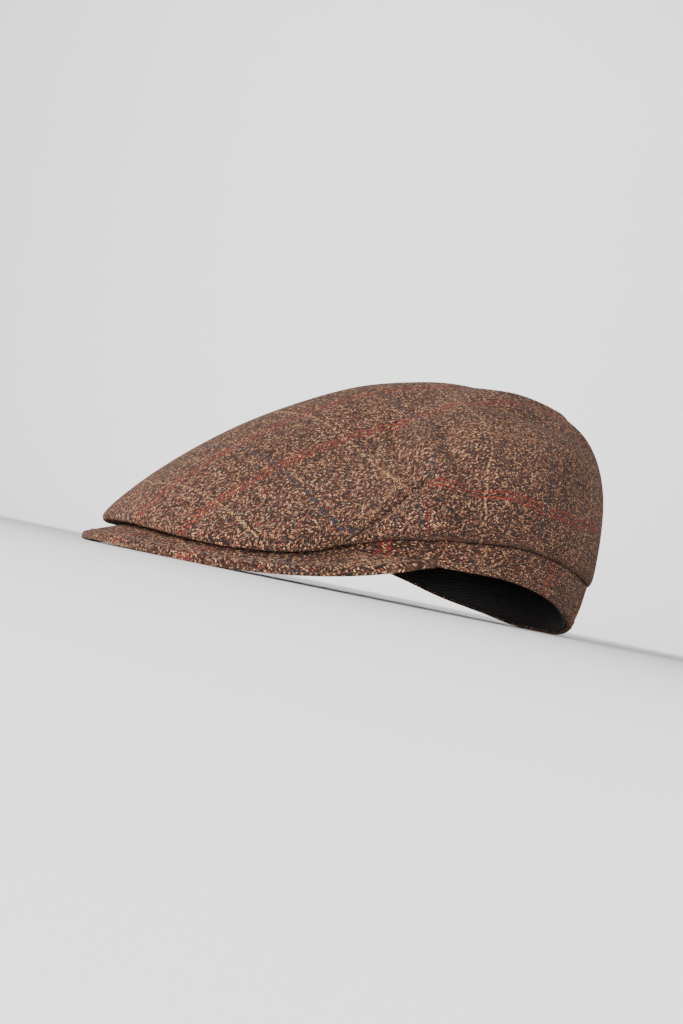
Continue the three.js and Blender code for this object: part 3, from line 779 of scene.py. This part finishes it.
def ribbed_black(name, colour, spacing, roughness, sheen):
    """Black cotton twill. The ribs run at a slant, and catch a little light along their tops."""
    m = new_material(name)
    space = node(m, "ShaderNodeTexCoord")
    turned = node(m, "ShaderNodeMapping", [(0, space.outputs["Object"]), ("Rotation", (0.5, 0.6, 0.4))])
    ribs = node(m, "ShaderNodeTexWave", [
        ("Vector", turned.outputs[0]), ("Scale", 1 / (spacing * MM) / WAVES_PER_UNIT),
        ("Distortion", 0.6), ("Detail", 1.0)], wave_type="BANDS", bands_direction="Z")
    threads = node(m, "ShaderNodeTexNoise", [
        ("Vector", space.outputs["Object"]), ("Scale", 900.0), ("Detail", 2.0)])
    shade = node(m, "ShaderNodeMapRange", [(0, threads.outputs[0]), (3, 0.6), (4, 1.4)])
    colour_mix = node(m, "ShaderNodeMix", [
        (0, 1.0), (6, linear(colour)), (7, shade.outputs[0])], data_type="RGBA", blend_type="MULTIPLY")
    bump = node(m, "ShaderNodeBump", [
        ("Strength", 0.6), ("Distance", 0.0004), ("Height", ribs.outputs[1])])
    surface = node(m, "ShaderNodeBsdfPrincipled", [
        ("Base Color", colour_mix.outputs[2]), ("Roughness", roughness), ("IOR", 1.5),
        ("Sheen Weight", sheen), ("Sheen Roughness", 0.4), ("Sheen Tint", linear("#8a8583")),
        ("Normal", bump.outputs[0])])
    node(m, "ShaderNodeOutputMaterial", [(0, surface.outputs[0])])
    return m


ribbon = ribbed_black("cotton_ribbon", "#15100f", RIB_SPACING, 0.62, 0.12)
angle = np.abs(band_turns)
low = band_bottom(angle) + SWEATBAND_LIFT
outer = -BAND_WALL - CLEARANCE
profile = [(outer, share) for share in np.linspace(1, 0, SWEATBAND_ROWS)]
profile += [(outer - SWEATBAND_WALL / 2, -SWEATBAND_EDGE)]
profile += [(outer - SWEATBAND_WALL, share) for share in np.linspace(0, 1, SWEATBAND_ROWS)]
rows = []
for out, share in profile:
    x, y = beside_head(band_turns, out)
    rows.append(np.stack([x, y, low + SWEATBAND_HEIGHT * share], -1))
sweatband = loops_to_piece("sweatband_ribbon", np.stack(rows, 1), ribbon, True)
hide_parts("sweatband")

# The lining: a plain dome of thin black twill inside the crown, from the band up. It is finer
# than the ribbon, and a little smoother.
LINING_WALL = 1.0
LINING_DROP = 8.0
LINING_FULLNESS = 0.6
LINING_ROWS = 40
LINING_RIB_SPACING = 0.8
twill = ribbed_black("lining_cloth", "#120e0d", LINING_RIB_SPACING, 0.5, 0.1)


def lining_curve(turn, inset):
    """Points from the lining's crest down to its hem in the band, and the height of the crest."""
    angle = np.abs(turn)
    hem = band_top(angle) + CLEARANCE
    out = band_lean(angle, band_top(angle)) - BAND_WALL + LINING_WALL
    x, y = beside_head(turn, out - inset)
    start = band_bottom(angle) + SWEATBAND_LIFT + SWEATBAND_HEIGHT
    foot = np.stack([x, y, start], -1)
    crest = CROWN_HEIGHT - CROWN_WALL - LINING_DROP - inset
    top = np.broadcast_to([0, CROWN_TOP_SETBACK, crest], foot.shape)
    flat = top + (foot - top) * (LINING_FULLNESS * column(CROWN_TABLE, "flat", angle))[..., None]
    flat[..., 2] = crest
    side = foot.copy()
    side[..., 2] += (crest - start) * LINING_FULLNESS * column(CROWN_TABLE, "rise", angle)
    t = np.linspace(0, 1, LINING_ROWS + 1)[1:][None, :, None]
    rows = [top[:, None], flat[:, None], side[:, None], foot[:, None]]
    shares = [(1 - t) ** 3, 3 * (1 - t) ** 2 * t, 3 * (1 - t) * t * t, t**3]
    curve = sum(row * share for row, share in zip(rows, shares))
    last = foot.copy()
    last[..., 2] = hem
    return np.concatenate([curve, last[:, None]], 1), crest


lining_turns = np.linspace(-180, 180, 240, endpoint=False)
outer_curve, outer_crest = lining_curve(lining_turns, 0.0)
inner_curve, inner_crest = lining_curve(lining_turns, LINING_WALL)
points = np.concatenate([
    [[0, CROWN_TOP_SETBACK, outer_crest], [0, CROWN_TOP_SETBACK, inner_crest]],
    np.concatenate([outer_curve, inner_curve[:, ::-1]], 1).reshape(-1, 3)])
lining_faces = dome_faces(len(lining_turns), 2 * outer_curve.shape[1])
lining = make_piece("lining_dome", points, lining_faces, twill)
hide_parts("lining")

# The sewing: short raised stitches of brown thread beside the edges of the peak and the band. Each
# is a thin rod that bows out of the cloth, and goes back in at its ends.
STITCH_LENGTH = 2.6
STITCH_GAP = 1.0
STITCH_RADIUS = 0.28
STITCH_END = 0.35
STITCH_BITS = 6
STITCH_SIDES = 5


def thread_material(name, colour):
    """Polyester sewing thread. It is twisted, so it is a little shiny."""
    m = new_material(name)
    space = node(m, "ShaderNodeTexCoord")
    twist = node(m, "ShaderNodeTexNoise", [("Vector", space.outputs["Object"]), ("Scale", 2500.0)])
    bump = node(m, "ShaderNodeBump", [
        ("Strength", 0.4), ("Distance", 0.0002), ("Height", twist.outputs[0])])
    shade = node(m, "ShaderNodeMapRange", [(0, twist.outputs[0]), (3, 0.7), (4, 1.3)])
    mix = node(m, "ShaderNodeMix", [
        (0, 1.0), (6, linear(colour)), (7, shade.outputs[0])], data_type="RGBA", blend_type="MULTIPLY")
    surface = node(m, "ShaderNodeBsdfPrincipled", [
        ("Base Color", mix.outputs[2]), ("Roughness", 0.55), ("IOR", 1.5), ("Normal", bump.outputs[0])])
    node(m, "ShaderNodeOutputMaterial", [(0, surface.outputs[0])])
    return m


thread = thread_material("sewing_thread", "#5a4438")


def stitches(name, path, lift_way, material):
    """A row of stitches along a path of points on the cloth, each a thin bowed rod."""
    length = np.concatenate([[0], np.cumsum(np.linalg.norm(np.diff(path, axis=0), axis=-1))])
    starts = np.arange(0, length[-1] - STITCH_LENGTH, STITCH_LENGTH + STITCH_GAP)
    bits, sides = STITCH_BITS, STITCH_SIDES
    points, faces = [], []
    for start in starts:
        first = len(points)
        at = start + np.linspace(0, STITCH_LENGTH, bits)
        line = np.stack([np.interp(at, length, path[:, k]) for k in range(3)], -1)
        up_way = np.stack([np.interp(at, length, lift_way[:, k]) for k in range(3)], -1)
        ahead = np.gradient(line, axis=0)
        ahead /= np.linalg.norm(ahead, axis=-1, keepdims=True)
        beside = np.cross(ahead, up_way)
        bow = np.sin(np.linspace(0, np.pi, bits))
        for k in range(bits):
            radius = STITCH_RADIUS * (STITCH_END + (1 - STITCH_END) * bow[k] ** 0.5)
            middle = line[k] + up_way[k] * STITCH_RADIUS * (bow[k] - STITCH_END)
            for turn in np.linspace(0, 2 * np.pi, sides, endpoint=False):
                out = np.cos(turn) * beside[k] + np.sin(turn) * up_way[k]
                points.append(middle + radius * out)
        for k in range(bits - 1):
            for n in range(sides):
                a, b = first + k * sides + n, first + k * sides + (n + 1) % sides
                faces.append([a, b, b + sides, a + sides])
        faces.append([first + n for n in range(sides)][::-1])
        faces.append([first + (bits - 1) * sides + n for n in range(sides)])
    make_piece(name, points, faces, material)


# The band's stitches run round the back, and end just before the peak does.
BAND_STITCH_UP = 3.2
BAND_STITCH_END = PEAK_END_ANGLE - 2
turns = np.linspace(-BAND_STITCH_END, BAND_STITCH_END, 433)
angle = np.abs(turns)
z = band_bottom(angle) + BAND_STITCH_UP
face_low = band_bottom(angle) + BAND_WALL / 2
share = (z - face_low) / (band_top(angle) - face_low)
x, y = beside_head(turns, band_lean(angle, z) + BAND_BULGE * np.sin(np.pi * share) ** 2)
path = np.stack([x, y, z], -1)
further = np.stack([*beside_head(turns, 1 + band_lean(angle, z)), z], -1)
nearer = np.stack([*beside_head(turns, band_lean(angle, z)), z], -1)
stitches("band_stitching", path, further - nearer, thread)
PEAK_STITCH_IN = 4.0
along = 1 - PEAK_STITCH_IN / slice_length[:, None]
for side, name in ((1, "peak_top_stitching"), (-1, "peak_under_stitching")):
    keep = slice_length > 2 * PEAK_STITCH_IN
    x = (root_x + (edge_x - root_x) * along[:, 0])[keep]
    y = (root_y + (edge_y - root_y) * along[:, 0])[keep]
    path = np.stack([x, y, peak_height(x, y) + side * half_peak(x)], -1)
    slope = np.full(len(x), np.tan(PEAK_SLOPE))
    lift = side * np.stack([x / PEAK_ARCH_RADIUS, -slope, np.ones(len(x))], -1)
    lift /= np.linalg.norm(lift, axis=-1, keepdims=True)
    stitches(name, path, lift, thread)

# The table under the cap and the wall round it: one pale round sheet of paper, curved up at its
# edge, so that no line shows behind the cap. Lengths here are in metres.
FLOOR_FLAT = 1.7
FLOOR_CURVE = 1.3
WALL_TOP = 2.6
FLOOR_SIDES = 96
CURVE_ROWS = 16
CURVE_START = 0.08
floor_points, floor_faces = [(0, 0, 0)], []
profile = [(FLOOR_FLAT, 0)]
for bend in np.linspace(CURVE_START, np.pi / 2, CURVE_ROWS):
    profile.append((FLOOR_FLAT + FLOOR_CURVE * np.sin(bend), FLOOR_CURVE * (1 - np.cos(bend))))
profile.append((FLOOR_FLAT + FLOOR_CURVE, WALL_TOP))
for far, up in profile:
    for turn in np.linspace(0, 2 * np.pi, FLOOR_SIDES, endpoint=False):
        floor_points.append((far * np.cos(turn), far * np.sin(turn), up))
for k in range(FLOOR_SIDES):
    nxt = (k + 1) % FLOOR_SIDES
    floor_faces.append((0, 1 + k, 1 + nxt))
    for ring in range(len(profile) - 1):
        low, high = 1 + ring * FLOOR_SIDES, 1 + (ring + 1) * FLOOR_SIDES
        floor_faces.append((low + k, high + k, high + nxt, low + nxt))
floor_mesh = bpy.data.meshes.new("floor")
floor_mesh.from_pydata(floor_points, [], floor_faces)
floor_mesh.polygons.foreach_set("use_smooth", [True] * len(floor_mesh.polygons))
# Paper is matt, with a grain too faint to be seen as more than an even tone.
paper = new_material("matt_paper")
grain = node(paper, "ShaderNodeTexNoise", [("Scale", 40.0)])
tone = node(paper, "ShaderNodeMapRange", [(0, grain.outputs[0]), (3, 0.98), (4, 1.0)])
paper_mix = node(paper, "ShaderNodeMix", [
    (0, 1.0), (6, linear("#f8f7f6")), (7, tone.outputs[0])], data_type="RGBA", blend_type="MULTIPLY")
paper_surface = node(paper, "ShaderNodeBsdfPrincipled", [
    ("Base Color", paper_mix.outputs[2]), ("Roughness", 0.9), ("IOR", 1.5)])
node(paper, "ShaderNodeOutputMaterial", [(0, paper_surface.outputs[0])])
floor_mesh.materials.append(paper)
floor = bpy.data.objects.new("floor", floor_mesh)
bpy.context.scene.collection.objects.link(floor)

# Weak soft light from all round, with a soft lamp over the front, a wider one low down beside the
# cap's left front, and one that lights the paper behind it.
world = bpy.data.worlds.new("studio")
world.use_nodes = True
world.node_tree.nodes["Background"].inputs[0].default_value = linear("#f4f5f7")
world.node_tree.nodes["Background"].inputs[1].default_value = 0.28
bpy.context.scene.world = world


def lamp(name, place, aim, size, watts):
    """A round area lamp at a place, turned to what it lights."""
    light = bpy.data.lights.new(name, "AREA")
    light.shape = "DISK"
    light.size = size
    light.energy = watts
    made = bpy.data.objects.new(name, light)
    made.location = place
    made.rotation_mode = "QUATERNION"
    made.rotation_quaternion = (Vector(aim) - Vector(place)).to_track_quat("-Z", "Y")
    bpy.context.scene.collection.objects.link(made)


lamp("key_lamp", (0.25, -1.3, 0.55), (0, -0.02, 0.05), 0.35, 21)
lamp("fill_lamp", (1.15, -0.85, 0.2), (0, 0, 0.04), 0.5, 31)
lamp("backdrop_lamp", (-1.2, 0.8, 1.5), (-2.6, 1.7, 0.3), 0.8, 40)

# The camera looks at the cap's left front from just above the table, tilted as the photograph
# is. FRAME_X and FRAME_Z slide it sideways and up so that the cap stands where it does there.
CAMERA_AZIMUTH = np.radians(57.5)
CAMERA_ELEVATION = np.radians(-2.57)
CAMERA_ROLL = np.radians(11.63)
CAMERA_DISTANCE = 750.0
FRAME_X, FRAME_Z = -22.7, 43.6
LENS = 53.8
right = np.array([np.cos(CAMERA_AZIMUTH), np.sin(CAMERA_AZIMUTH), 0])
level_back = np.array([np.sin(CAMERA_AZIMUTH), -np.cos(CAMERA_AZIMUTH), 0])
back = level_back * np.cos(CAMERA_ELEVATION) + [0, 0, np.sin(CAMERA_ELEVATION)]
upward = np.cross(back, right)
rolled_right = right * np.cos(CAMERA_ROLL) + upward * np.sin(CAMERA_ROLL)
rolled_up = upward * np.cos(CAMERA_ROLL) - right * np.sin(CAMERA_ROLL)
eye = FRAME_X * rolled_right + FRAME_Z * rolled_up + CAMERA_DISTANCE * back + (0, head_middle, 0)
camera_data = bpy.data.cameras.new("camera")
camera_data.sensor_fit = "AUTO"
camera_data.sensor_width = 36
camera_data.lens = LENS
camera_data.clip_start = 0.01
camera = bpy.data.objects.new("camera", camera_data)
axes = np.stack([rolled_right, rolled_up, back], 1)
camera.matrix_world = Matrix.Translation(Vector(eye * MM)) @ Matrix(axes.tolist()).to_4x4()
bpy.context.scene.collection.objects.link(camera)
bpy.context.scene.camera = camera
